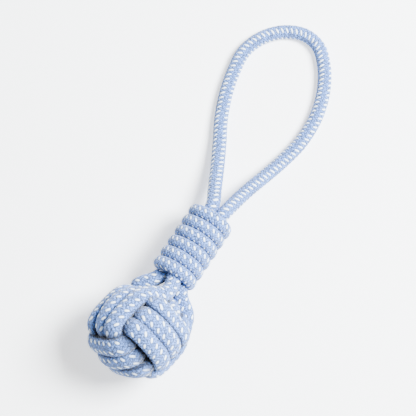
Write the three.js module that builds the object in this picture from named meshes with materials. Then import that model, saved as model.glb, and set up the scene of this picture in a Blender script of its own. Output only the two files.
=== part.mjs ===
// Rope dog toy: a woven rope ball on a bound grip with an open hand loop, lying on a table.
// Millimetres, +Z up, +X from the ball towards the loop, origin under the middle of the toy.
import * as THREE from 'three';

// Driving dimensions
const ropeDiameter = 9; // loose rope, as in the hand loop
const touchGap = 0.3; // between pieces that touch
const endGap = 0.9; // between the ends of stretches of one rope
const restFlat = ropeDiameter / 10; // how deep the rope is pressed flat where the toy rests

// The ball: three bands of three turns round a core
const strandPitch = 9.65; // turn to turn in a band
const strandWidth = 8.95; // rope pressed flat on the ball
const strandThickness = 6.4;
const outerShell = 29.5; // ball centre to the middle of a strand that passes over
const innerShell = 21.4; // ball centre to the middle of a strand that passes under
const diveSharpness = 0.3; // 1 is an even wave, less dives more steeply
const cornerLift = 2.9; // how much further out the side turns lie where three bands meet
const shiftSpread = 160; // degrees over which a turn moves to its next place
const fistRoll = 36; // degrees the bands are turned about the handle
const fistLean = 6; // degrees the ball leans to the right of the handle
const fistSlope = 15; // degrees the ball is tipped down towards the loop
const fistSquash = 0.94; // the ball's size across its flattest way, as a part of its round size
const squashTurn = 33; // degrees from the handle to the left, where the ball is flattest

// The grip: rope bound round the legs of the loop
const handleSlope = 6; // degrees down from the ball to the loop
const handleAside = 1.8; // how far the handle lies to the left of the ball's middle
const wrapStart = 39; // ball centre to the end of the binding, along the handle
const wrapPitch = 8.7;
const wrapWidth = 7.95; // bound rope, along the handle
const wrapThickness = 8; // bound rope, across the handle
const wrapTurns = 5.9;
const wrapGather = 1.2; // how far the turns' advance is gathered below the handle, 0 is an even winding
const wrapInside = 8.4; // radius left for the strands inside
const wrapEndAngle = 280; // degrees round the handle, from the left side over the top, where the binding ends
const wrapTail = 2; // straight rope past each end of the winding
const coreStrandDiameter = 7.1; // pressed by the binding
const rightTurnOut = 1.2; // how much sooner the right strand turns out of the grip
const tailDepth = 8; // how far below the mouth the cut tail stops
const sealLength = 3; // melted end of that tail

// The hand loop
const loopReach = 147; // from the mouth of the grip to the loop's far end
const loopWidth = 70; // between the middles of its legs at the widest place
const rootLength = 14; // bending stretch of each leg at the mouth
const mouthFlare = 1.1; // how the legs spread as they leave the mouth

// Facets
const strandSides = 8;
const strandStepsPerTurn = 40;
const loopSides = 10;
const loopSteps = 64;
const shortSteps = 7;
const coreSegments = 24;
const coreRings = 16;

// Colours
const ropeColour = 0xa6bfe2;
const coreColour = 0xcfc7b4;
const sealColour = 0x7f95b8;

const up = new THREE.Vector3(0, 0, 1);
const left = new THREE.Vector3(0, 1, 0);
const radians = THREE.MathUtils.degToRad;
const toy = new THREE.Group();
const rope = { color: ropeColour, roughness: 0.9, metalness: 0 };

function addPiece(name, geometry, look) {
  const mesh = new THREE.Mesh(geometry, new THREE.MeshStandardMaterial(look));
  mesh.name = name;
  toy.add(mesh);
  return mesh;
}

// Rings of points round a path: path(u) gives the middle of the rope and the way its thickness faces.
function sweepRings(path, size, steps, sides) {
  const nudge = 0.02 / steps;
  const rings = [];
  for (let i = 0; i <= steps; i += 1) {
    const u = i / steps;
    const { point, facing } = path(u);
    const ahead = path(Math.min(1, u + nudge)).point;
    const behind = path(Math.max(0, u - nudge)).point;
    const along = ahead.clone().sub(behind).normalize();
    const thick = facing.clone().addScaledVector(along, -facing.dot(along)).normalize();
    const wide = thick.clone().cross(along);
    const { width, thickness } = size(u);
    const ring = [];
    for (let k = 0; k < sides; k += 1) {
      const angle = (2 * Math.PI * k) / sides;
      ring.push(point.clone()
        .addScaledVector(wide, (width / 2) * Math.cos(angle))
        .addScaledVector(thick, (thickness / 2) * Math.sin(angle)));
    }
    rings.push(ring);
  }
  return rings;
}

// A closed tube through rings of points. Nothing reaches below the floor.
function tubeFrom(rings, floor = -Infinity) {
  const sides = rings[0].length;
  const positions = [];
  const faces = [];
  for (const ring of rings) {
    for (const point of ring) positions.push(point.x, point.y, Math.max(point.z, floor));
  }
  for (let i = 0; i + 1 < rings.length; i += 1) {
    for (let k = 0; k < sides; k += 1) {
      const here = i * sides + k;
      const beside = i * sides + ((k + 1) % sides);
      faces.push(here, beside, here + sides, beside, beside + sides, here + sides);
    }
  }
  const last = (rings.length - 1) * sides;
  for (let k = 1; k + 1 < sides; k += 1) {
    faces.push(0, k + 1, k, last, last + k, last + k + 1);
  }
  const geometry = new THREE.BufferGeometry();
  geometry.setAttribute('position', new THREE.Float32BufferAttribute(positions, 3));
  geometry.setIndex(faces);
  geometry.computeVertexNormals();
  return geometry;
}

const evenSize = (width, thickness = width) => () => ({ width, thickness });

// Least distance between stretches of one tube that are further apart along it than a half turn.
const finer = 5; // rings for the measurement, to each ring of the solid
function printSelfGap(name, rings, halfTurn) {
  const apart = Math.ceil(halfTurn * (rings.length - 1));
  let least = Infinity;
  for (let i = 0; i < rings.length; i += 1) {
    for (let j = i + apart; j < rings.length; j += 1) {
      if (rings[i][0].distanceTo(rings[j][0]) > 3 * strandWidth) continue;
      for (const a of rings[i]) {
        for (const b of rings[j]) least = Math.min(least, a.distanceTo(b));
      }
    }
  }
  console.log(`${name}: least gap to itself ${least.toFixed(2)} mm`);
}

// Ball axes: up and to the right, up and to the left, and away from the handle
const axisNames = ['right', 'left', 'away'];
const fistTurn = new THREE.Matrix4().makeRotationZ(-radians(fistLean))
  .multiply(new THREE.Matrix4().makeRotationY(radians(fistSlope)));
const ballAxes = [
  new THREE.Vector3(0, -Math.sin(radians(fistRoll)), Math.cos(radians(fistRoll))),
  new THREE.Vector3(0, Math.cos(radians(fistRoll)), Math.sin(radians(fistRoll))),
  new THREE.Vector3(-1, 0, 0),
].map((axis) => axis.applyMatrix4(fistTurn));

const smoothStep = (x) => THREE.MathUtils.smoothstep(x, 0, 1);

// One band of turns. It circles its own axis, passes over at plus and minus the next axis
// and under at plus and minus the one after, and moves over by a pitch at each shift angle.
function bandPath({ axis, from, to, firstPlace, placeStep, shifts }) {
  const first = axisNames.indexOf(axis);
  const [own, over, under] = [0, 1, 2].map((k) => ballAxes[(first + k) % 3]);
  const sense = Math.sign(to - from);
  return (u) => {
    const degrees = from + (to - from) * u;
    let place = firstPlace;
    for (const shift of shifts) {
      place += placeStep * smoothStep((sense * (degrees - shift)) / shiftSpread + 0.5);
    }
    const angle = radians(degrees);
    const wave = Math.cos(2 * angle);
    const flatWave = wave / Math.hypot(wave, diveSharpness * Math.sin(2 * angle));
    const lift = cornerLift * Math.abs(place) * Math.sin(2 * angle) ** 2;
    const shell = (outerShell + innerShell) / 2 + ((outerShell - innerShell) / 2) * flatWave + lift;
    const offset = place * strandPitch;
    const reach = Math.sqrt(shell * shell - offset * offset);
    const point = new THREE.Vector3()
      .addScaledVector(own, offset)
      .addScaledVector(over, reach * Math.cos(angle))
      .addScaledVector(under, reach * Math.sin(angle));
    return { point, facing: point.clone().normalize() };
  };
}

const bands = {
  fist_first_turns: {
    axis: 'left', from: 222, to: 1127, firstPlace: 1, placeStep: -1, shifts: [450, 810, 1170],
  },
  fist_second_turns: {
    axis: 'away', from: 227, to: -767, firstPlace: -2, placeStep: 1, shifts: [270, -90, -450, -810],
  },
  fist_third_turns: {
    axis: 'right', from: 47, to: -755, firstPlace: -2, placeStep: 1, shifts: [90, -270, -630],
  },
  fist_locking_tuck: {
    axis: 'right', from: 205, to: 146, firstPlace: 1, placeStep: 0, shifts: [],
  },
};
const strandSize = evenSize(strandWidth, strandThickness);
const squashWay = new THREE.Vector3(Math.cos(radians(squashTurn)), Math.sin(radians(squashTurn)), 0);
const squashed = (point) => point.clone().addScaledVector(squashWay, (fistSquash - 1) * point.dot(squashWay));
const sweepBand = (path, steps) => sweepRings(path, strandSize, steps, strandSides)
  .map((ring) => ring.map(squashed));
const bandRings = {};
for (const [name, band] of Object.entries(bands)) {
  const steps = Math.round((Math.abs(band.to - band.from) / 360) * strandStepsPerTurn);
  const path = bandPath(band);
  bandRings[name] = sweepBand(path, steps);
  if (band.shifts.length > 0) {
    printSelfGap(name, sweepBand(path, steps * finer), 180 / Math.abs(band.to - band.from));
  }
}

// The toy rests where the ball's lowest strand is pressed flat.
const lowest = Math.min(...Object.values(bandRings).flat(2).map((point) => point.z));
const floor = lowest + restFlat;
for (const [name, rings] of Object.entries(bandRings)) addPiece(name, tubeFrom(rings, floor), rope);

const coreRadius = innerShell - strandThickness / 2 - touchGap;
const coreBall = new THREE.SphereGeometry(coreRadius, coreSegments, coreRings).rotateX(Math.PI / 2)
  .scale(fistSquash, 1, 1)
  .rotateZ(radians(squashTurn));
addPiece('fist_core', coreBall, { color: coreColour, roughness: 0.8, metalness: 0 });

// The handle's axis, from a foot beside the ball's centre
const handle = new THREE.Vector3(Math.cos(radians(handleSlope)), 0, -Math.sin(radians(handleSlope)));
const handleUp = left.clone().cross(handle).negate();
const handleFoot = left.clone().multiplyScalar(handleAside);
const onHandle = (distance, sideways, above) => handleFoot.clone()
  .addScaledVector(handle, distance)
  .addScaledVector(left, sideways)
  .addScaledVector(handleUp, above);

// The binding: a left-handed winding with a straight end at each side of it. Its turns cross the top
// of the handle nearly square and move along mostly below it.
const wrapRadius = wrapInside + wrapThickness / 2;
const wrapLength = wrapTurns * wrapPitch + wrapWidth;
const wrapEnd = wrapStart + wrapLength;
const turnLength = 2 * Math.PI * wrapRadius;
const wrapRun = wrapTurns * turnLength + 2 * wrapTail;
const firstAngle = radians(wrapEndAngle);
function wrapPath(u) {
  const run = u * wrapRun - wrapTail;
  const wound = THREE.MathUtils.clamp(run / turnLength, 0, wrapTurns);
  const past = run - wound * turnLength;
  const angle = firstAngle + 2 * Math.PI * wound;
  const outwards = new THREE.Vector3()
    .addScaledVector(left, Math.cos(angle))
    .addScaledVector(handleUp, Math.sin(angle));
  const onwards = new THREE.Vector3()
    .addScaledVector(left, -Math.sin(angle))
    .addScaledVector(handleUp, Math.cos(angle));
  const gathered = (wrapGather * (Math.cos(angle) - Math.cos(firstAngle))) / (2 * Math.PI);
  const pastTurns = (past / turnLength) * (1 - wrapGather * Math.sin(angle));
  const back = (wound + gathered + pastTurns) * wrapPitch;
  const point = onHandle(wrapEnd - wrapWidth / 2 - back, 0, 0)
    .addScaledVector(outwards, wrapRadius)
    .addScaledVector(onwards, past);
  return { point, facing: outwards };
}
const wrapSize = evenSize(wrapWidth, wrapThickness);
const wrapSteps = Math.round(wrapTurns * strandStepsPerTurn);
const wrapSweep = (steps) => sweepRings(wrapPath, wrapSize, steps, strandSides);
printSelfGap('grip_wrap', wrapSweep(wrapSteps * finer), 0.5 / wrapTurns);
addPiece('grip_wrap', tubeFrom(wrapSweep(wrapSteps)), rope);

// Three strands lie inside the binding: the two legs of the loop and the ball's tail above them.
const coreSpread = (coreStrandDiameter + touchGap) / Math.sqrt(3);
const coreSeat = (degrees) => [
  coreSpread * Math.cos(radians(degrees)),
  coreSpread * Math.sin(radians(degrees)),
];
const seats = { left: coreSeat(-30), right: coreSeat(210), middle: coreSeat(90) };
const wrapMouth = wrapEnd + endGap;
const coreStart = { left: wrapStart, right: wrapStart + rightTurnOut, middle: wrapStart };
const coreEnd = { left: wrapEnd, right: wrapEnd, middle: wrapEnd - tailDepth };

function straightPath(from, to) {
  return (u) => ({ point: from.clone().lerp(to, u), facing: handleUp });
}
const coreSize = evenSize(coreStrandDiameter);
for (const [side, seat] of Object.entries(seats)) {
  const path = straightPath(onHandle(coreStart[side], ...seat), onHandle(coreEnd[side], ...seat));
  addPiece(`grip_core_${side}`, tubeFrom(sweepRings(path, coreSize, shortSteps, loopSides)), rope);
}
const sealFrom = coreEnd.middle + touchGap;
const sealPath = straightPath(
  onHandle(sealFrom, ...seats.middle),
  onHandle(sealFrom + sealLength, ...seats.middle),
);
addPiece('tail_end_seal', tubeFrom(sweepRings(sealPath, coreSize, 1, loopSides)),
  { color: sealColour, roughness: 0.5, metalness: 0 });

// Neck strands join the grip's inner strands to the ball's turns. The pulls say how far each end
// of a strand holds its direction.
const justInside = 0.004; // part of a band's length over which its end's direction is taken
function neckPath(side, { bandName, atStart, seatPull, ballPull }) {
  const seat = seats[side];
  const band = bandPath(bands[bandName]);
  const meet = band(atStart ? 0 : 1);
  const meetPoint = squashed(meet.point);
  const inside = squashed(band(atStart ? justInside : 1 - justInside).point);
  const into = inside.sub(meetPoint).normalize();
  const from = onHandle(coreStart[side] - endGap, ...seat);
  const to = meetPoint.addScaledVector(into, -endGap);
  const curve = new THREE.CubicBezierCurve3(
    from,
    from.clone().addScaledVector(handle, -seatPull),
    to.clone().addScaledVector(into, -ballPull),
    to,
  );
  const seatWay = onHandle(0, ...seat).sub(handleFoot).normalize();
  return (u) => ({
    point: curve.getPoint(u),
    facing: seatWay.clone().lerp(meet.facing, smoothStep(u)).normalize(),
  });
}
function growingSize(fromWidth, fromThickness, toWidth, toThickness) {
  return (u) => ({
    width: THREE.MathUtils.lerp(fromWidth, toWidth, smoothStep(u)),
    thickness: THREE.MathUtils.lerp(fromThickness, toThickness, smoothStep(u)),
  });
}
const neckSize = growingSize(coreStrandDiameter, coreStrandDiameter, strandWidth, strandThickness);
const necks = {
  left: { bandName: 'fist_first_turns', atStart: true, seatPull: 7, ballPull: 18 },
  middle: { bandName: 'fist_third_turns', atStart: false, seatPull: 7, ballPull: 14 },
  right: { bandName: 'fist_locking_tuck', atStart: true, seatPull: 8.4, ballPull: 36 },
};
for (const [side, neck] of Object.entries(necks)) {
  const path = neckPath(side, neck);
  addPiece(`neck_strand_${side}`, tubeFrom(sweepRings(path, neckSize, shortSteps, strandSides)), rope);
}

// The hand loop's route: parts of its reach from the mouth, of its width to the left of the handle,
// and of the mouth's height above rope that lies on the table.
const routePoints = [
  [0.092, 0.143, 0.7], [0.153, 0.207, 0.49], [0.221, 0.279, 0.3], [0.316, 0.386, 0.12], [0.418, 0.507, 0.03],
  [0.541, 0.614, 0], [0.656, 0.676, 0], [0.765, 0.7, 0], [0.867, 0.633, 0], [0.956, 0.476, 0],
  [1, 0.271, 0], [0.986, 0.086, 0], [0.918, -0.071, 0], [0.823, -0.196, 0], [0.724, -0.271, 0],
  [0.629, -0.303, 0], [0.52, -0.3, 0], [0.405, -0.254, 0.06], [0.303, -0.2, 0.24], [0.214, -0.15, 0.46],
  [0.139, -0.114, 0.64],
];
const mouthPoint = (side) => onHandle(wrapMouth, ...seats[side]);
const leavingPoint = (side) => {
  const [sideways, above] = seats[side];
  return onHandle(wrapMouth + ropeDiameter / 3, sideways * mouthFlare, above);
};
const lyingHeight = floor + ropeDiameter / 2 - restFlat;
const mouthHeight = mouthPoint('left').z;
const routePoint = ([along, across, above]) => new THREE.Vector3(
  wrapEnd + along * loopReach,
  handleAside + across * loopWidth,
  THREE.MathUtils.lerp(lyingHeight, mouthHeight, above),
);
const routeCurve = new THREE.CatmullRomCurve3([
  mouthPoint('left'),
  leavingPoint('left'),
  ...routePoints.map(routePoint),
  leavingPoint('right'),
  mouthPoint('right'),
]);
const routeLength = routeCurve.getLength();
const routeStretch = (from, to) => (u) => ({
  point: routeCurve.getPointAt((from + (to - from) * u) / routeLength),
  facing: up,
});
const rootSize = growingSize(coreStrandDiameter, coreStrandDiameter, ropeDiameter, ropeDiameter);
const rootPaths = {
  left: routeStretch(0, rootLength),
  right: routeStretch(routeLength, routeLength - rootLength),
};
for (const [side, path] of Object.entries(rootPaths)) {
  addPiece(`loop_root_${side}`, tubeFrom(sweepRings(path, rootSize, shortSteps, loopSides), floor), rope);
}
const loopPath = routeStretch(rootLength + endGap, routeLength - rootLength - endGap);
addPiece('handle_loop',
  tubeFrom(sweepRings(loopPath, evenSize(ropeDiameter), loopSteps, loopSides), floor), rope);

// The origin goes under the middle of the toy, on the table.
const reach = new THREE.Box3().setFromObject(toy, true);
const middle = reach.getCenter(new THREE.Vector3());
toy.position.set(-middle.x, -middle.y, -reach.min.z);

export default toy;
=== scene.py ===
# Rope dog toy: a woven rope ball, a bound grip and an open hand loop, in pale blue braid with white flecks.
# Metres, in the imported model's frame: +X from the ball towards the loop, +Z up from the table.
import math

import bpy
import numpy as np
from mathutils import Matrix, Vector


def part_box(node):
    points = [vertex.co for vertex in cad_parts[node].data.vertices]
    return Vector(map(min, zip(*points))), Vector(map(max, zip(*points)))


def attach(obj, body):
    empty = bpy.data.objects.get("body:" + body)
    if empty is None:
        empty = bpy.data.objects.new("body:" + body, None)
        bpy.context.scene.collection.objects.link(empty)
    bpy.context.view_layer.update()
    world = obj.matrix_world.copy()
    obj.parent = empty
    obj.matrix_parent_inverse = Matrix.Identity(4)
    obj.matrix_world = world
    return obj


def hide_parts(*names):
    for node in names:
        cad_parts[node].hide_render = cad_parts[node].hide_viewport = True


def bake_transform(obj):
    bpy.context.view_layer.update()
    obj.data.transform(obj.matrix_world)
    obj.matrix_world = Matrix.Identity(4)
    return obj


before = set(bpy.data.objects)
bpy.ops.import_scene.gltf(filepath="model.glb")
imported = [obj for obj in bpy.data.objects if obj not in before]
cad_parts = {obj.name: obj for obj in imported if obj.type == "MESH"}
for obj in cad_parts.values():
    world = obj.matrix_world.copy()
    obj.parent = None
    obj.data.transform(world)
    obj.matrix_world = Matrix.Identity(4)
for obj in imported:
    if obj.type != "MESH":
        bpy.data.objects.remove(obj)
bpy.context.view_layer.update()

MM = 0.001
table_height = 0.0

# Rope
rope_diameter = 9.8 * MM
loop_bundles = 16  # yarn bundles round the braid
grip_bundles = 20  # more where the rope is pressed wide
ball_bundles = 24
float_length = 2  # crossings that a bundle goes over, and then under
braid_repeat = 2 * float_length
loose_lay = 0.36 * rope_diameter  # fleck to fleck along a loose rope
ball_lay = 0.52 * rope_diameter  # and along a rope pulled tight
grip_lay = 0.37 * rope_diameter  # which the small turns of the grip spread on their outer side
loose_relief = 0.038  # depth of the braid, as a part of the rope's radius
pressed_relief = 0.03
points_round = 64
rows_per_crossing = 2

# Ball
strand_pitch = 12.2 * MM
strand_width = 12.6 * MM
strand_thickness = 9 * MM
third_fullness = 1.06  # size of the third set's strands, as a part of the others'
outer_shell = 28.4 * MM
inner_shell = 20.8 * MM
corner_lift = 2.9 * MM
second_slide = -0.22  # how far the second set of turns sits towards the handle, in pitches
dive_sharpness = 0.3  # lower is a steeper dive
# Where a strand dives under others, the material darkens it with painted shade
dive_hidden = 0.12  # the part of its dive at which a strand starts to be under others
dive_hiding = 0.35  # and the part over which it goes in
shift_spread = 160  # degrees over which a turn moves on to the next place
fist_roll = math.radians(36)
fist_lean = math.radians(6)
fist_slope = math.radians(15)
fist_squash = 0.94  # size across the ball's flattest way, as a part of its round size
squash_turn = math.radians(33)  # from the handle to the left
band_samples = 900

# Grip
handle_slope = math.radians(6)
handle_aside = 1.8 * MM  # how far the handle lies to the left of the ball's middle
wrap_start = 39 * MM
wrap_pitch = 8.7 * MM
bound_width = 7.95 * MM  # the solid's rope, which the grip's length is reckoned from
wrap_width = 8.8 * MM
wrap_thickness = 8.7 * MM
wrap_squareness = 2.4  # 2 is an ellipse, more is boxier
wrap_inside = 7.9 * MM
wrap_turns = 5.9
wrap_tail = 2 * MM
wrap_samples = 1200
tuck_run = 16 * MM  # stretch over which each end of the binding goes in under its last turn
tuck_depth = 6.5 * MM
tuck_size = 0.55
wrap_gather = 1.2  # how far the turns' advance is gathered below the handle, 0 is an even winding
wrap_first_angle = math.radians(280)
wrap_end = wrap_start + wrap_turns * wrap_pitch + bound_width
bare_fade = 0.1  # part of a turn over which the binding's bare side meets the next turn
core_diameter = 7.4 * MM
tail_depth = 8 * MM

# Neck
neck_diameter = 10.4 * MM
# places along the handle, to its left and above it, in millimetres
left_neck = [(27.5, 16, -3.5), (36, 9.2, 0)]
middle_neck = [(27.5, -2.6, 14), (34.5, -4.2, 9.5)]
right_neck = [(27, -22, 0), (35.5, -12, 0)]
neck_lead = 60  # rows back along the ball's turn, which give the neck its first direction
neck_samples = 40
neck_rounding = 3  # the rope is round after one part in this many of its way to the grip's end
neck_bend_start = 32 * MM
grip_entry = 2 * MM
grip_seating = 12 * MM  # from the binding's start to where the strands lie in their seats

# Hand loop
loop_reach = 147 * MM
loop_width = 70 * MM
lying_height = 3.6 * MM
# parts of the reach from the grip's mouth, of the width to the left of the handle,
# and of the mouth's height above rope that lies on the table
loop_route = [
    (0.092, 0.143, 0.7), (0.153, 0.207, 0.49), (0.221, 0.279, 0.3), (0.316, 0.386, 0.12),
    (0.418, 0.507, 0.03), (0.541, 0.614, 0), (0.656, 0.676, 0), (0.765, 0.7, 0),
    (0.867, 0.633, 0), (0.956, 0.476, 0), (1, 0.271, 0), (0.986, 0.086, 0),
    (0.918, -0.071, 0), (0.823, -0.196, 0), (0.724, -0.271, 0), (0.629, -0.303, 0),
    (0.52, -0.3, 0), (0.405, -0.254, 0.06), (0.303, -0.2, 0.24), (0.214, -0.15, 0.46),
    (0.139, -0.114, 0.64),
]
hidden_run = 6 * MM  # how far the loop runs back into the grip at both ends
mouth_flare = 1.4
loop_taper = 9 * MM
loop_bend = 16 * MM
loop_twist = 0.5  # turns of the braid from end to end

core_low, core_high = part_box("fist_core")
ball_centre = np.array((Vector(core_low) + Vector(core_high)) / 2)

up = np.array((0.0, 0.0, 1.0))
left = np.array((0.0, 1.0, 0.0))
handle = np.array((math.cos(handle_slope), 0.0, -math.sin(handle_slope)))
handle_up = np.cross(handle, left)


def on_handle(distance, sideways=0.0, above=0.0):
    return ball_centre + distance * handle + (handle_aside + sideways) * left + above * handle_up


# Camera: the photo looks steeply down, with the loop at the upper right.
view_azimuth = math.radians(-57)
view_elevation = math.radians(79)
view_distance = 0.9
view_lens = 115  # millimetres, like the sensor
view_sensor = 36
view_offset = np.array((95, 4.6, 5)) * MM  # from the ball's middle to the middle of the picture
view_target = on_handle(0) + view_offset
camera_data = bpy.data.cameras.new("camera")
camera_data.lens = view_lens
camera_data.sensor_width = view_sensor
camera = bpy.data.objects.new("camera", camera_data)
back = Vector((
    math.sin(view_azimuth) * math.cos(view_elevation),
    -math.cos(view_azimuth) * math.cos(view_elevation),
    math.sin(view_elevation),
))
camera.location = Vector(view_target) + view_distance * back
camera.rotation_euler = (-back).to_track_quat("-Z", "Y").to_euler()
bpy.context.collection.objects.link(camera)
bpy.context.scene.camera = camera


# Rope paths. A path is an array of rows: middle (3), facing (3), width, thickness, how far the rope
# has gone in under others, and how bare its two sides are, the last three from 0 to 1; these three set where
# the material paints groove shade.
def rows(points, facing, width, thickness, under=0.0, bare=(0.0, 0.0)):
    count = len(points)
    size = [np.broadcast_to(value, count) for value in (width, thickness, under, *bare)]
    return np.column_stack([points, facing, *size])


def smooth_step(x):
    x = np.clip(x, 0, 1)
    return x * x * (3 - 2 * x)


def unit(vectors):
    return vectors / np.linalg.norm(vectors, axis=-1, keepdims=True)


def evenly(path, step):
    """The same path, with rows a step apart along it."""
    run = np.concatenate([[0], np.cumsum(np.linalg.norm(np.diff(path[:, :3], axis=0), axis=1))])
    places = np.linspace(0, run[-1], int(run[-1] / step) + 1)
    return np.column_stack([np.interp(places, run, column) for column in path.T])


def through(points, count=24):
    """A smooth curve through points (centripetal Catmull-Rom)."""
    points = np.asarray(points)
    points = np.vstack([2 * points[0] - points[1], points, 2 * points[-1] - points[-2]])
    pieces = []
    for p0, p1, p2, p3 in zip(points, points[1:], points[2:], points[3:]):
        t0 = 0.0
        t1 = t0 + math.sqrt(np.linalg.norm(p1 - p0))
        t2 = t1 + math.sqrt(np.linalg.norm(p2 - p1))
        t3 = t2 + math.sqrt(np.linalg.norm(p3 - p2))
        t = np.linspace(t1, t2, count, endpoint=False)[:, None]
        a1 = (t1 - t) / (t1 - t0) * p0 + (t - t0) / (t1 - t0) * p1
        a2 = (t2 - t) / (t2 - t1) * p1 + (t - t1) / (t2 - t1) * p2
        a3 = (t3 - t) / (t3 - t2) * p2 + (t - t2) / (t3 - t2) * p3
        b1 = (t2 - t) / (t2 - t0) * a1 + (t - t0) / (t2 - t0) * a2
        b2 = (t3 - t) / (t3 - t1) * a2 + (t - t1) / (t3 - t1) * a3
        pieces.append((t2 - t) / (t2 - t1) * b1 + (t - t1) / (t2 - t1) * b2)
    return np.vstack([*pieces, points[-2]])


# Braid: bundles of one hand cross those of the other, two over and two under.
def braid_lattice(column, row):
    """How far across and along its float each place on the braid lies, from 0 to 1."""
    first, second = (row + column) / 2, (row - column) / 2
    first_whole, second_whole = np.floor(first), np.floor(second)
    first_part, second_part = first - first_whole, second - second_whole
    turn = np.mod(first_whole + second_whole, braid_repeat)
    first_on_top = turn < float_length
    across = np.where(first_on_top, first_part, second_part)
    first_along = (turn + second_part) / float_length
    second_along = (turn - float_length + first_part) / float_length
    return across, np.where(first_on_top, first_along, second_along)


def at_corners(values):
    """Values at rows and columns, the first column also last, as the corners of the faces between them."""
    near, far = values[:-1], values[1:]
    return np.stack([near[:, :-1], near[:, 1:], far[:, 1:], far[:, :-1]], axis=2)


def add_map(mesh, name, sides, ends):
    """A map of two numbers, from arrays for the rope's side and from rows for the corners of its ends."""
    corners = np.stack([at_corners(values) for values in sides], axis=3).reshape(-1, 2)
    new_map = mesh.uv_layers.new(name=name)
    new_map.data.foreach_set("uv", np.vstack([corners, ends]).ravel())


def make_rope(name, path, lay, bundles, relief, squareness=2.0, floor=None, twist=0.0):
    """A braided rope along a path, with maps of its braid and of where its material paints groove shade.
    twist is in turns.
    """
    path = evenly(path, lay / braid_repeat / rows_per_crossing)
    middle, width, thickness = path[:, :3], path[:, 6:7], path[:, 7:8]
    along = unit(np.gradient(middle, axis=0))
    facing = path[:, 3:6]
    thick = unit(facing - (facing * along).sum(axis=1, keepdims=True) * along)
    wide = np.cross(thick, along)

    row = np.arange(len(path))[:, None] / rows_per_crossing
    turned = twist * bundles * row / row[-1]
    column = bundles * (1 - np.arange(points_round + 1) / points_round) + turned
    across, float_along = braid_lattice(column[:, :-1], row)
    pillow = (1 - (2 * across - 1) ** 2) * np.sqrt(np.sin(np.pi * float_along))
    swell = 1 + relief * (2 * pillow - 1)

    ring = np.arange(points_round)
    angle = 2 * np.pi * ring / points_round
    round_sum = np.abs(np.cos(angle)) ** squareness + np.abs(np.sin(angle)) ** squareness
    reach = swell * round_sum ** (-1 / squareness)
    places = (
        middle[:, None, :]
        + (reach * np.cos(angle) * width / 2)[:, :, None] * wide[:, None, :]
        + (reach * np.sin(angle) * thickness / 2)[:, :, None] * thick[:, None, :]
    )
    if floor is not None:
        places[:, :, 2] = np.maximum(places[:, :, 2], floor)

    row_start = (np.arange(len(path)) * points_round)[:, None]
    sides = at_corners(row_start + np.append(ring, 0)).reshape(-1, 4).tolist()
    ends = [ring[::-1].tolist(), (row_start[-1] + ring).tolist()]
    mesh = bpy.data.meshes.new(name)
    mesh.from_pydata(places.reshape(-1, 3).tolist(), [], sides + ends)

    outer_column = 0.75 * bundles  # the middle of the outer side, which the end faces take
    braid_ends = np.tile([outer_column, 0.0], (2 * points_round, 1))
    add_map(mesh, "braid", [column, np.broadcast_to(row, column.shape)], braid_ends)
    under = path[:, 8:9]
    bare = np.where(np.cos(angle) > 0, path[:, 9:10], path[:, 10:11])
    bare = np.column_stack([bare, bare[:, 0]])
    cover_ends = np.column_stack([np.repeat(under[[0, -1]], points_round), np.ones(2 * points_round)])
    add_map(mesh, "cover", [np.broadcast_to(under, column.shape), bare], cover_ends)
    mesh.polygons.foreach_set("use_smooth", [True] * len(mesh.polygons))
    piece = bpy.data.objects.new(name, mesh)
    bpy.context.collection.objects.link(piece)
    return piece


# Materials
blue = (0.145, 0.305, 0.8, 1)
# Dark end of the blue: the dark fibres' own colour, and also the painted shade in the gaps between bundles
fibre_and_shade_blue = (0.024, 0.028, 0.042, 1)
white = (0.8, 0.9, 1.0, 1)
# The flecks' white in painted shade between bundles
shaded_white = (0.42, 0.54, 0.77, 1)
# Near black painted groove shade, for the hidden sides of strands that lie among others
groove_shade_blue = (0.007, 0.009, 0.016, 1)
rope_surface = {"Roughness": 0.9, "Specular IOR Level": 0.2, "Sheen Weight": 0.25, "Sheen Roughness": 0.5}
ridge_power = 3.0  # a bundle's section, rounder when lower
float_power = 0.4  # and its float's, fuller when lower
yarn_scale = 1.6
yarn_detail = 3.0
yarn_offset = 7.3  # from a bundle's yarns to the next one's
other_hand = 500.0  # and to the bundles of the other hand
yarns_across = 5.0
yarn_run = 0.9
yarn_drift = 0.37
fuzz_depth = 0.6
yarn_bump = 0.6
shade_rise = 1.5
shade_rounding = 0.2
fibre_scale = 1300.0
fibre_edges = (0.38, 0.62)
# fibre_low is the dark fibres' own tone; tone_low and tone_rise set how deep the painted shade between
# bundles goes
fibre_low = 0.1
tone_low = 0.3
tone_rise = 0.75
fleck_softness = 0.4
# The flecks fade out where painted groove shade begins, and groove_shade_fade is how far that shade fades in
fleck_fade = 0.2  # how far from a groove's edge the flecks fade, as a part of the strand's half height
groove_shade_fade = 0.45
rope_bump = {"strength": 0.6, "distance": 0.6 * MM}
grain_bump = {"strength": 0.3, "distance": 0.4 * MM}
grain_detail = 4.0


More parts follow.
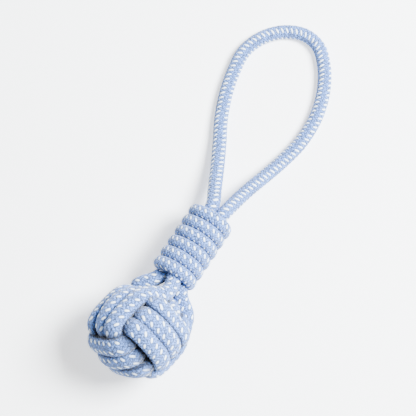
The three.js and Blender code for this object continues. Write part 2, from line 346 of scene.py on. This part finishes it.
class Nodes:
    """Short ways to add nodes to a material."""

    def __init__(self, name):
        self.material = bpy.data.materials.new(name)
        self.material.use_nodes = True
        self.tree = self.material.node_tree
        self.shader = self.tree.nodes["Principled BSDF"]

    def put(self, socket, value):
        if isinstance(value, bpy.types.NodeSocket):
            self.tree.links.new(value, socket)
        else:
            socket.default_value = value

    def surface(self, values):
        for socket, value in values.items():
            self.shader.inputs[socket].default_value = value

    def map_parts(self, name):
        """The two numbers of one of the mesh's maps."""
        node = self.tree.nodes.new("ShaderNodeUVMap")
        node.uv_map = name
        parts = self.tree.nodes.new("ShaderNodeSeparateXYZ")
        self.put(parts.inputs[0], node.outputs[0])
        return parts.outputs[0], parts.outputs[1]

    def place(self):
        return self.tree.nodes.new("ShaderNodeTexCoord").outputs["Object"]

    def calc(self, operation, *values):
        node = self.tree.nodes.new("ShaderNodeMath")
        node.operation = operation
        for socket, value in zip(node.inputs, values):
            self.put(socket, value)
        return node.outputs[0]

    def mix(self, factor, a, b, kind="RGBA"):
        node = self.tree.nodes.new("ShaderNodeMix")
        node.data_type = kind
        self.put(node.inputs["Factor"], factor)
        self.put(node.inputs["A"], a)
        self.put(node.inputs["B"], b)
        return node.outputs["Result"]

    def pick(self, factor, a, b):
        return self.mix(factor, a, b, "FLOAT")

    def step(self, value, low, high):
        node = self.tree.nodes.new("ShaderNodeMapRange")
        node.interpolation_type = "SMOOTHSTEP"
        self.put(node.inputs["Value"], value)
        node.inputs["From Min"].default_value = low
        node.inputs["From Max"].default_value = high
        return node.outputs["Result"]

    def noise(self, vector, scale, detail=2.0):
        node = self.tree.nodes.new("ShaderNodeTexNoise")
        self.put(node.inputs["Vector"], vector)
        node.inputs["Scale"].default_value = scale
        node.inputs["Detail"].default_value = detail
        return node.outputs["Fac"]

    def vector(self, x, y, z=0.0):
        node = self.tree.nodes.new("ShaderNodeCombineXYZ")
        for socket, value in zip(node.inputs, (x, y, z)):
            self.put(socket, value)
        return node.outputs[0]

    def bump(self, height, strength, distance):
        node = self.tree.nodes.new("ShaderNodeBump")
        node.inputs["Strength"].default_value = strength
        node.inputs["Distance"].default_value = distance
        self.put(node.inputs["Height"], height)
        self.put(self.shader.inputs["Normal"], node.outputs["Normal"])


def groove_fleck_and_shade(n, column, bundles, groove_top):
    """Where a strand among others shows its flecks, and where painted groove shade darkens it, on its hidden
    sides and where it is under others, from 0 to 1.
    """
    under, bare = n.map_parts("cover")
    height = n.calc("SINE", n.calc("MULTIPLY", column, -2 * math.pi / bundles))
    shown = n.calc("MAXIMUM", n.step(height, groove_top - fleck_fade, groove_top + fleck_fade), bare)
    shown = n.calc("MAXIMUM", n.calc("SUBTRACT", shown, under), 0.0)
    in_groove_shade = n.calc("SUBTRACT", 1.0, n.step(height, groove_top - groove_shade_fade, groove_top))
    in_groove_shade = n.calc("MAXIMUM", n.calc("SUBTRACT", in_groove_shade, bare), under)
    return shown, in_groove_shade


def rope_material(name, bundles, groove_shade_depth=0.0, groove_top=0.5, fleck_edge=0.45):
    """Braid with white flecks and painted shade between its bundles. The sides of a strand that lies among
    others are darkened with painted groove shade by groove_shade_depth.
    """
    n = Nodes(name)
    column, row = n.map_parts("braid")
    row = n.calc("ADD", row, braid_repeat * bundles)

    first = n.calc("MULTIPLY", n.calc("ADD", row, column), 0.5)
    second = n.calc("MULTIPLY", n.calc("SUBTRACT", row, column), 0.5)
    first_whole, second_whole = n.calc("FLOOR", first), n.calc("FLOOR", second)
    first_part, second_part = n.calc("FRACT", first), n.calc("FRACT", second)
    turn = n.calc("MODULO", n.calc("ADD", first_whole, second_whole), braid_repeat)
    first_on_top = n.calc("LESS_THAN", turn, float_length - 0.5)
    across = n.pick(first_on_top, second_part, first_part)
    rest = n.pick(first_on_top, first_part, second_part)
    crossed = n.calc("ADD", n.calc("MODULO", turn, float_length), rest)
    along = n.calc("MULTIPLY", crossed, 1 / float_length)
    bundle = n.pick(first_on_top, n.calc("ADD", second_whole, other_hand), first_whole)

    from_middle = n.calc("ABSOLUTE", n.calc("MULTIPLY_ADD", across, 2.0, -1.0))
    ridge = n.calc("SUBTRACT", 1.0, n.calc("POWER", from_middle, ridge_power))
    swell = n.calc("POWER", n.calc("SINE", n.calc("MULTIPLY", along, math.pi)), float_power)
    pillow = n.calc("MULTIPLY", ridge, swell)

    yarn_place = n.vector(
        n.calc("MULTIPLY_ADD", bundle, yarn_offset, n.calc("MULTIPLY", across, yarns_across)),
        n.calc("MULTIPLY_ADD", along, yarn_run, n.calc("MULTIPLY", row, yarn_drift)),
    )
    yarns = n.noise(yarn_place, yarn_scale, yarn_detail)
    fuzz = n.calc("ADD", pillow, n.calc("MULTIPLY_ADD", yarns, fuzz_depth, -fuzz_depth / 2))
    # Painted shade in the gaps between the bundles' floats, roughened by the yarns' noise; it darkens the
    # blue and the flecks
    shade = n.calc("SMOOTH_MIN", n.calc("MULTIPLY", fuzz, shade_rise), 1.0, shade_rounding)

    white_bundle = n.calc("LESS_THAN", n.calc("MODULO", first_whole, 2.0), 0.5)
    fleck = n.calc("MULTIPLY", first_on_top, white_bundle)
    fleck = n.calc("MULTIPLY", fleck, n.step(fuzz, fleck_edge, fleck_edge + fleck_softness))
    if groove_shade_depth:
        shown, in_groove_shade = groove_fleck_and_shade(n, column, bundles, groove_top)
        fleck = n.calc("MULTIPLY", fleck, shown)
    fibres = n.step(n.noise(n.place(), fibre_scale), *fibre_edges)
    fibre_tone = n.calc("MULTIPLY_ADD", fibres, 1 - fibre_low, fibre_low)
    tone = n.calc("MULTIPLY", fibre_tone, n.calc("MULTIPLY_ADD", shade, tone_rise, tone_low))
    colour = n.mix(fleck, n.mix(tone, fibre_and_shade_blue, blue), n.mix(shade, shaded_white, white))
    if groove_shade_depth:
        # Painted groove shade: the hidden sides of a strand, and where it is under others, go near black
        colour = n.mix(n.calc("MULTIPLY", in_groove_shade, groove_shade_depth), colour, groove_shade_blue)
    n.put(n.shader.inputs["Base Color"], colour)
    n.surface(rope_surface)
    n.bump(n.calc("ADD", pillow, n.calc("MULTIPLY", yarns, yarn_bump)), **rope_bump)
    return n.material


def plain_material(name, dark, light, scale, roughness):
    n = Nodes(name)
    grain = n.noise(n.place(), scale, grain_detail)
    n.put(n.shader.inputs["Base Color"], n.mix(grain, dark, light))
    n.surface({"Roughness": roughness})
    n.bump(grain, **grain_bump)
    return n.material


# Copies of one rope material, differing in bundles and fleck size, and in how deep and wide the painted
# groove shade on a strand's sides is
loop_look = rope_material("braided rope, loose", loop_bundles, fleck_edge=0.33)
grip_look = rope_material("braided rope, bound", grip_bundles, groove_shade_depth=0.95, groove_top=0.57)
ball_look = rope_material("braided rope, knotted", ball_bundles, groove_shade_depth=0.85)
close_look = rope_material("braided rope, knotted close", ball_bundles, groove_shade_depth=0.9, groove_top=0.32)
deep_groove_shade_look = rope_material("braided rope, knotted round", ball_bundles, groove_shade_depth=0.88, groove_top=0.66)
# The core is painted near black, as the shade seen in the gaps between the ball's strands; its own colour is
# not known
core_shade_look = plain_material(
    "core rubber", dark=(0.02, 0.03, 0.06, 1), light=(0.04, 0.05, 0.09, 1), scale=300, roughness=0.7)
seal_look = plain_material(
    "melted end", dark=(0.1, 0.15, 0.27, 1), light=(0.17, 0.24, 0.4, 1), scale=600, roughness=0.35)


def finish_rope(piece, look, nodes, body=None, bend=None):
    piece.data.materials.append(look)
    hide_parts(*nodes)
    if bend:
        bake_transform(piece)
    else:
        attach(piece, body)


# Seats of the three strands inside the binding
core_spread = core_diameter / math.sqrt(3)


def seat(degrees):
    return core_spread * math.cos(math.radians(degrees)), core_spread * math.sin(math.radians(degrees))


seats = {"left": seat(-30), "right": seat(210), "middle": seat(90)}
# The neck strands' sides that face out lie in no groove and get no painted groove shade
outer_sides = {"left": (1, 0), "right": (0, 1), "middle": (0, 0)}  # a strand's left and right sides


# Hand loop
def mouth_points(side):
    sideways, above = seats[side]
    return [
        on_handle(wrap_end - hidden_run, sideways, above),
        on_handle(wrap_end, sideways * (1 + mouth_flare) / 2, above),
        on_handle(wrap_end + rope_diameter / 2, sideways * mouth_flare, above),
    ]


mouth_height = mouth_points("left")[1][2]
lying_points = [
    on_handle(0) * (1, 1, 0) + np.array((
        wrap_end + forward * loop_reach,
        sideways * loop_width,
        lying_height + above * (mouth_height - lying_height),
    ))
    for forward, sideways, above in loop_route
]
loop_line = through([*mouth_points("left"), *lying_points, *reversed(mouth_points("right"))])
loop_ends = np.minimum(
    np.linalg.norm(loop_line - loop_line[0], axis=1), np.linalg.norm(loop_line - loop_line[-1], axis=1))
loop_size = core_diameter + (rope_diameter - core_diameter) * smooth_step(loop_ends / loop_taper)
loop_path = rows(loop_line, np.broadcast_to(up, loop_line.shape), loop_size, loop_size)
hand_loop = make_rope(
    "hand_loop", loop_path, loose_lay, loop_bundles, loose_relief, floor=table_height, twist=loop_twist)
finish_rope(
    hand_loop, loop_look, ["loop_root_left", "loop_root_right", "handle_loop"],
    bend=("grip", "loop", tuple(on_handle(wrap_end)), tuple(on_handle(wrap_end + loop_bend))),
)

# Binding, left-handed. past is how far its ends run straight on beyond the turns.
wrap_radius = wrap_inside + wrap_thickness / 2
turn_length = 2 * math.pi * wrap_radius
run = np.linspace(-wrap_tail, wrap_turns * turn_length + wrap_tail, wrap_samples)
wound = np.clip(run / turn_length, 0, wrap_turns)
past = run - wound * turn_length
wrap_angle = wrap_first_angle + 2 * math.pi * wound
gathered = wrap_gather * (np.cos(wrap_angle) - math.cos(wrap_first_angle)) / (2 * math.pi)
past_turns = past / turn_length * (1 - wrap_gather * np.sin(wrap_angle))
wrap_back = (wound + gathered + past_turns) * wrap_pitch
outwards = np.outer(np.cos(wrap_angle), left) + np.outer(np.sin(wrap_angle), handle_up)
onwards = np.outer(np.cos(wrap_angle), handle_up) - np.outer(np.sin(wrap_angle), left)
tucked = 1 - smooth_step(np.minimum(run - run[0], run[-1] - run) / tuck_run)
wrap_line = on_handle(wrap_end - bound_width / 2) - np.outer(wrap_back, handle)
wrap_line = wrap_line + (wrap_radius - tuck_depth * tucked)[:, None] * outwards + past[:, None] * onwards
tuck_scale = 1 - (1 - tuck_size) * tucked
# The binding's outer sides at its two ends lie in no groove and get no painted groove shade
wrap_bare = [1 - smooth_step((turns - (1 - bare_fade)) / bare_fade) for turns in (wound, wrap_turns - wound)]
wrap_path = rows(wrap_line, outwards, wrap_width * tuck_scale, wrap_thickness * tuck_scale, bare=wrap_bare)
binding = make_rope("grip_binding", wrap_path, grip_lay, grip_bundles, pressed_relief, wrap_squareness)
finish_rope(binding, grip_look, ["grip_wrap"], body="grip")

# Ball axes: the first faces up and right, the second up and left, the third away from the handle.
flat_axes = np.array((
    (0, -math.sin(fist_roll), math.cos(fist_roll)),
    (0, math.cos(fist_roll), math.sin(fist_roll)),
    (-1, 0, 0),
))
sloped = np.array((
    (math.cos(fist_slope), 0, math.sin(fist_slope)),
    (0, 1, 0),
    (-math.sin(fist_slope), 0, math.cos(fist_slope)),
))
leaning = np.array((
    (math.cos(fist_lean), math.sin(fist_lean), 0),
    (-math.sin(fist_lean), math.cos(fist_lean), 0),
    (0, 0, 1),
))
ball_axes = flat_axes @ (leaning @ sloped).T
squash_way = np.array((math.cos(squash_turn), math.sin(squash_turn), 0.0))


def band_path(axis, start, stop, first_place, place_step=0, shifts=(), fullness=1.0):
    """Turns about one axis of the ball, over at the next axis and under at the one after.
    start, stop and shifts, where a turn moves on to the next place, are in degrees. Places are in pitches."""
    own_axis, over_axis, under_axis = (ball_axes[(axis + k) % 3] for k in range(3))
    degrees = np.linspace(start, stop, band_samples)
    place = np.full(degrees.shape, float(first_place))
    for shift in shifts:
        place += place_step * smooth_step(np.sign(stop - start) * (degrees - shift) / shift_spread + 0.5)
    angle = np.radians(degrees)
    wave = np.cos(2 * angle)
    flat_wave = wave / np.hypot(wave, dive_sharpness * np.sin(2 * angle))
    shell = (outer_shell + inner_shell) / 2 + (outer_shell - inner_shell) / 2 * flat_wave
    shell += corner_lift * np.abs(place) * np.sin(2 * angle) ** 2
    offset = place * strand_pitch
    reach = np.sqrt(shell ** 2 - offset ** 2)
    from_centre = (
        offset[:, None] * own_axis
        + (reach * np.cos(angle))[:, None] * over_axis
        + (reach * np.sin(angle))[:, None] * under_axis
    )
    squashed = from_centre + (fist_squash - 1) * (from_centre @ squash_way)[:, None] * squash_way
    # How far the strand has dived under others, where the material paints shade on it
    under = smooth_step(((1 - flat_wave) / 2 - dive_hidden) / dive_hiding)
    size = (fullness * strand_width, fullness * strand_thickness)
    return rows(ball_centre + squashed, unit(from_centre), *size, under)


def with_neck(band, side, core_end, by):
    """A band carried on from its last row through the neck, by places beside the handle, and the grip."""
    sideways, above = seats[side]
    inside = wrap_start + grip_seating
    line = through([
        band[-neck_lead, :3],
        band[-1, :3],
        *(on_handle(*(np.array(place) * MM)) for place in by),
        on_handle(inside, sideways, above),
        on_handle(core_end, sideways, above),
    ], count=neck_samples)[neck_samples:]
    reached = (line - on_handle(0)) @ handle
    to_neck = smooth_step(np.linspace(0, 1, len(line)) * neck_rounding)
    to_core = smooth_step((reached - wrap_start - grip_entry) / (inside - wrap_start))
    size = [
        (1 - to_core) * (ball_size + (neck_diameter - ball_size) * to_neck) + to_core * core_diameter
        for ball_size in band[-1, 6:8]
    ]
    facing = (1 - to_neck[:, None]) * unit(line - ball_centre) + to_neck[:, None] * handle_up
    bare = [outer * to_neck for outer in outer_sides[side]]
    neck = rows(line, facing, *size, band[-1, 8] * (1 - to_neck), bare)
    return np.vstack([band, neck[1:]])


first_band = band_path(
    axis=1, start=222, stop=1143, first_place=1, place_step=-1, shifts=(450, 810, 1170))[::-1]
second_band = band_path(
    axis=2, start=243, stop=-783, first_place=-2 + second_slide, place_step=1, shifts=(270, -90, -450, -810))
third_band = band_path(
    axis=0, start=63, stop=-755, first_place=-2, place_step=1, shifts=(90, -270, -630),
    fullness=third_fullness)
locking_tuck = band_path(axis=0, start=125, stop=205, first_place=1)

neck_bend = ("ball", "grip", tuple(on_handle(neck_bend_start)), tuple(on_handle(wrap_start + grip_entry)))
ball_ropes = [
    (
        "ball_first_turns", with_neck(first_band, "left", wrap_end, left_neck), deep_groove_shade_look,
        ["fist_first_turns", "neck_strand_left", "grip_core_left"], {"bend": neck_bend},
    ),
    ("ball_second_turns", second_band, ball_look, ["fist_second_turns"], {"body": "ball"}),
    (
        "ball_third_turns", with_neck(third_band, "middle", wrap_end - tail_depth, middle_neck), close_look,
        ["fist_third_turns", "neck_strand_middle", "grip_core_middle"], {"bend": neck_bend},
    ),
    (
        "ball_locking_tuck", with_neck(locking_tuck, "right", wrap_end, right_neck), ball_look,
        ["fist_locking_tuck", "neck_strand_right", "grip_core_right"], {"bend": neck_bend},
    ),
]
for name, path, look, nodes, moves in ball_ropes:
    rope = make_rope(name, path, ball_lay, ball_bundles, pressed_relief, floor=table_height)
    finish_rope(rope, look, nodes, **moves)

for node, look in (("fist_core", core_shade_look), ("tail_end_seal", seal_look)):
    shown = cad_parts[node]
    shown.data.materials.clear()
    shown.data.materials.append(look)

# Stage: a pale floor and soft light
floor_half = 30.0
floor_surface = {
    "Base Color": (0.9, 0.9, 0.9, 1),
    "Roughness": 0.9,
    "Emission Color": (1, 1, 1, 1),
    "Emission Strength": 1.2,
}
world_strength = 0.18
light_colour = (0.93, 0.97, 1.0)

floor_corners = [
    (floor_half * x, floor_half * y, table_height) for x, y in ((-1, -1), (1, -1), (1, 1), (-1, 1))
]
floor_mesh = bpy.data.meshes.new("floor")
floor_mesh.from_pydata(floor_corners, [], [(0, 1, 2, 3)])
floor = bpy.data.objects.new("floor", floor_mesh)
bpy.context.collection.objects.link(floor)
floor_look = Nodes("floor")
floor_look.surface(floor_surface)
floor_mesh.materials.append(floor_look.material)

world = bpy.data.worlds.new("studio")
world.use_nodes = True
world.node_tree.nodes["Background"].inputs["Color"].default_value = (1, 1, 1, 1)
world.node_tree.nodes["Background"].inputs["Strength"].default_value = world_strength
bpy.context.scene.world = world


def soft_light(name, place, size, power):
    """An area light that faces the middle of the frame."""
    data = bpy.data.lights.new(name, "AREA")
    data.size = size
    data.energy = power
    data.color = light_colour
    light = bpy.data.objects.new(name, data)
    light.location = place
    light.rotation_euler = (-Vector(place)).to_track_quat("-Z", "Y").to_euler()
    bpy.context.collection.objects.link(light)


soft_light("key", place=(0.58, -0.6, 1.1), size=0.6, power=148)
soft_light("fill", place=(-0.6, 0.6, 1.0), size=0.9, power=4)
